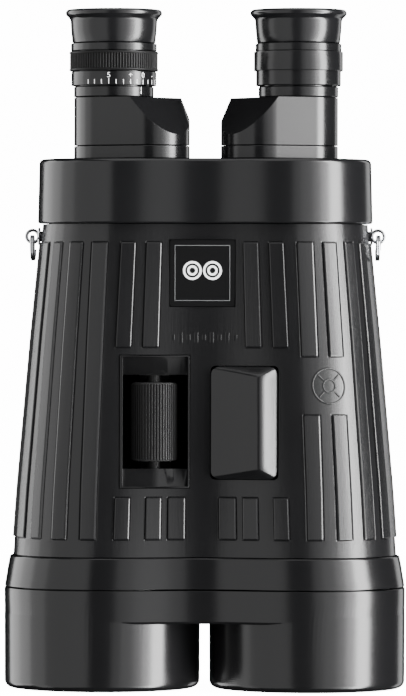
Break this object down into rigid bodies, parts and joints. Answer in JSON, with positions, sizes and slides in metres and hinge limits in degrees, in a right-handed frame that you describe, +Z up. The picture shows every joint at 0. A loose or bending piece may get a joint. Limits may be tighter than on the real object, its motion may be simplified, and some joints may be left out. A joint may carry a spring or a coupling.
{
  "type": "binoculars",
  "caption": "Large stabilised binoculars with twin objective hoods, front focusing wheel, raised push button and two geared swivelling eyepieces.",
  "frame": {"origin": "middle of the footprint, on the plane that the objective hoods stand on", "axes": "+Z up along the optical axes towards the eyepieces, -Y the side with the focusing wheel and button, +X to the right of someone facing that side"},
  "size_m": [0.1616, 0.0792, 0.2732],
  "materials": {
    "armour": "satin",
    "shell": "semi-gloss",
    "grip_rubber": "matt",
    "black_metal": "matt",
    "plate": "gloss",
    "aluminium": "satin",
    "steel": "satin",
    "chrome": "polished",
    "brass": "satin",
    "coated_glass": "polished"
  },
  "bodies": {
    "housing": {"body_armour": "armour", "head_cover": "shell", "objective_hood": "armour", "objective_collar": "armour", "focus_bezel": "plate", "name_plate": "plate", "strap_lug_left": "chrome", "strap_lug_right": "chrome", "objective_cell_left": "black_metal", "objective_cell_right": "black_metal", "objective_lens_left": "coated_glass", "objective_lens_right": "coated_glass", "chassis_plate": "aluminium", "baffle_tube_left": "black_metal", "baffle_tube_right": "black_metal", "focus_bracket": "aluminium", "focus_guide_rod": "steel", "gimbal_fork": "aluminium", "magnet_yoke_left": "steel", "magnet_yoke_right": "steel"},
    "focus_drive": {"focus_wheel": "grip_rubber", "focus_shaft": "steel"},
    "focus_slide": {"focus_carriage": "black_metal", "focusing_lens_left": "coated_glass", "focusing_lens_right": "coated_glass"},
    "button": {"stabiliser_button": "armour"},
    "lever": {"release_lever": "steel"},
    "lock": {"lock_pin": "steel"},
    "gimbal": {"gimbal_ring": "steel"},
    "carrier": {"prism_carrier": "aluminium", "entry_prism_left": "coated_glass", "entry_prism_right": "coated_glass", "exit_prism_left": "coated_glass", "exit_prism_right": "coated_glass", "reversing_prism_left": "coated_glass", "reversing_prism_right": "coated_glass", "damping_vane_left": "brass", "damping_vane_right": "brass"},
    "turret_left": {"turret_base_left": "shell", "turret_housing_left": "shell", "rhomboid_prism_left": "coated_glass", "turret_gear_left": "brass", "eyepiece_tube_left": "shell", "eyecup_seat_left": "shell", "eyecup_left": "grip_rubber"},
    "turret_right": {"turret_base_right": "shell", "turret_housing_right": "shell", "rhomboid_prism_right": "coated_glass", "turret_gear_right": "brass", "eyepiece_tube_right": "shell", "eyepiece_ring_right": "shell", "eyecup_right": "grip_rubber", "ocular_cell_right": "black_metal", "eye_lens_right": "coated_glass"},
    "dioptre_ring": {"dioptre_scale_ring": "shell", "dioptre_grip_ring": "grip_rubber"},
    "ocular_left": {"ocular_cell_left": "black_metal", "eye_lens_left": "coated_glass"},
    "strap_ring_left": {"strap_ring_left": "chrome"},
    "strap_ring_right": {"strap_ring_right": "chrome"}
  },
  "joints": [
    {"name": "turret_left_swivel", "type": "hinge", "parent": "housing", "child": "turret_left", "pos_m": [-0.0223, 0, 0.215], "axis": [0, 0, 1], "range_deg": [-41.8, 0]},
    {"name": "turret_right_swivel", "type": "hinge", "parent": "housing", "child": "turret_right", "pos_m": [0.0223, 0, 0.215], "axis": [0, 0, 1], "range_deg": [0, 41.8]},
    {"name": "dioptre_turn", "type": "hinge", "parent": "turret_left", "child": "dioptre_ring", "pos_m": [-0.03734, 0.0075, 0.25], "axis": [0, 0, 1], "range_deg": [-70, 70]},
    {"name": "ocular_travel", "type": "slide", "parent": "turret_left", "child": "ocular_left", "axis": [0, 0, 1], "range_m": [-0.0015, 0.0015]},
    {"name": "focus_turn", "type": "hinge", "parent": "housing", "child": "focus_drive", "pos_m": [-0.0194, -0.0243, 0.107], "axis": [0, 0, 1], "range_deg": [-540, 540]},
    {"name": "focus_travel", "type": "slide", "parent": "housing", "child": "focus_slide", "axis": [0, 0, 1], "range_m": [-0.004, 0.004]},
    {"name": "button_press", "type": "hinge", "parent": "housing", "child": "button", "pos_m": [0.0036, -0.0296, 0.107], "axis": [0, 0, 1], "range_deg": [0, 6], "stiffness_Nm_per_rad": 0.4, "springref_deg": -2.86},
    {"name": "lever_turn", "type": "hinge", "parent": "housing", "child": "lever", "pos_m": [0, -0.004, 0.1255], "axis": [1, 0, 0], "range_deg": [0, 7.68]},
    {"name": "lock_travel", "type": "slide", "parent": "housing", "child": "lock", "axis": [0, 0, -1], "range_m": [0, 0.00208]},
    {"name": "gimbal_roll", "type": "hinge", "parent": "housing", "child": "gimbal", "pos_m": [0, 0, 0.1545], "axis": [0, 1, 0], "range_deg": [-1.5, 1.5]},
    {"name": "carrier_nod", "type": "hinge", "parent": "gimbal", "child": "carrier", "pos_m": [0, 0, 0.1545], "axis": [1, 0, 0], "range_deg": [-1.5, 1.5]},
    {"name": "strap_ring_left_swing", "type": "hinge", "parent": "housing", "child": "strap_ring_left", "pos_m": [-0.0696, 0, 0.1815], "axis": [0, 1, 0], "range_deg": [0, 95]},
    {"name": "strap_ring_right_swing", "type": "hinge", "parent": "housing", "child": "strap_ring_right", "pos_m": [0.0696, 0, 0.1815], "axis": [0, 1, 0], "range_deg": [-95, 0]}
  ],
  "couplings": [
    {"joint": "turret_right_swivel", "follows": "turret_left_swivel", "ratio": -1},
    {"joint": "ocular_travel", "follows": "dioptre_turn", "m_per_rad": 0.0012276},
    {"joint": "focus_travel", "follows": "focus_turn", "m_per_rad": 0.00042437},
    {"joint": "lever_turn", "follows": "button_press", "ratio": 1.2799},
    {"joint": "lock_travel", "follows": "button_press", "m_per_rad": 0.019861}
  ]
}
